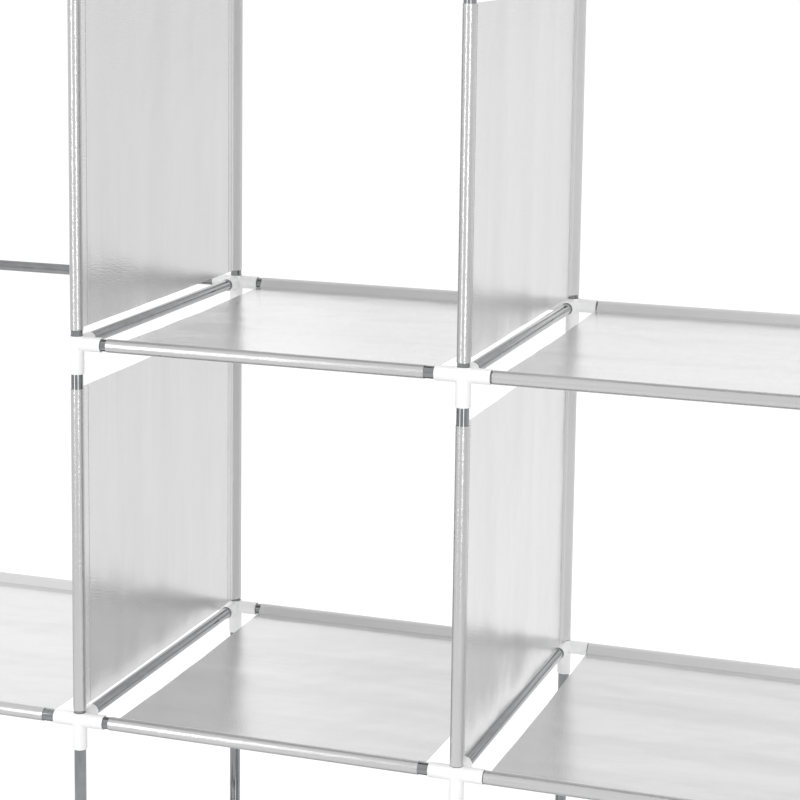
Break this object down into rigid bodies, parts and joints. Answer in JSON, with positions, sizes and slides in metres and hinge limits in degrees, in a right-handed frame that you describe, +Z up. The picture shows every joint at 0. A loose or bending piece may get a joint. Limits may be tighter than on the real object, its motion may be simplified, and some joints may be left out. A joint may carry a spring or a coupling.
{
  "type": "portable wardrobe",
  "caption": "Open press-fit frame of steel tubes and plastic connectors, with taut cloth shelves and dividers sleeved on the tubes and a tall hanging bay.",
  "frame": {"origin": "centre of the bounding box's bottom, on the floor between the feet", "axes": "+X to the right across the columns, +Y from the open front to the back, +Z up"},
  "size_m": [1.2896, 0.4496, 1.7412],
  "materials": {
    "steel_tube": "polished",
    "connector_plastic": "satin",
    "panel_cloth": "coated, with a soft sheen"
  },
  "bodies": {
    "root": {"front_post_left_end": "steel_tube", "front_post_left_inner": "steel_tube", "front_post_right_inner": "steel_tube", "front_post_right_end": "steel_tube", "back_post_left_end": "steel_tube", "back_post_left_inner": "steel_tube", "back_post_right_inner": "steel_tube", "back_post_right_end": "steel_tube", "base_back_beam": "connector_plastic", "base_front_beam": "connector_plastic", "base_side_rail_left_end": "steel_tube", "base_side_rail_left_inner": "steel_tube", "base_side_rail_right_inner": "steel_tube", "base_side_rail_right_end": "steel_tube", "lower_back_beam": "connector_plastic", "lower_front_beam": "connector_plastic", "lower_side_rail_left_end": "steel_tube", "lower_side_rail_left_inner": "steel_tube", "lower_side_rail_right_inner": "steel_tube", "lower_side_rail_right_end": "steel_tube", "middle_back_beam": "connector_plastic", "middle_front_beam": "connector_plastic", "middle_front_corner": "connector_plastic", "middle_side_rail_left_end": "steel_tube", "middle_side_rail_left_inner": "steel_tube", "middle_side_rail_right_inner": "steel_tube", "middle_side_rail_right_end": "steel_tube", "upper_back_beam": "connector_plastic", "upper_front_beam": "connector_plastic", "upper_front_corner": "connector_plastic", "upper_side_rail_left_end": "steel_tube", "upper_side_rail_left_inner": "steel_tube", "upper_side_rail_right_inner": "steel_tube", "upper_side_rail_right_end": "steel_tube", "top_back_beam": "connector_plastic", "top_front_beam": "connector_plastic", "top_side_rail_left_end": "steel_tube", "top_side_rail_left_inner": "steel_tube", "top_side_rail_right_inner": "steel_tube", "top_side_rail_right_end": "steel_tube", "base_left_shelf": "panel_cloth", "base_centre_shelf": "panel_cloth", "base_right_shelf": "panel_cloth", "lower_left_shelf": "panel_cloth", "lower_centre_shelf": "panel_cloth", "lower_right_shelf": "panel_cloth", "middle_centre_shelf": "panel_cloth", "middle_right_shelf": "panel_cloth", "upper_centre_shelf": "panel_cloth", "upper_right_shelf": "panel_cloth", "lower_divider_left_inner": "panel_cloth", "lower_divider_right_inner": "panel_cloth", "middle_divider_left_inner": "panel_cloth", "middle_divider_right_inner": "panel_cloth", "upper_divider_left_inner": "panel_cloth", "upper_divider_right_inner": "panel_cloth", "hanging_rod": "steel_tube", "rod_saddle_left_end": "connector_plastic", "rod_saddle_left_inner": "connector_plastic"}
  },
  "joints": []
}
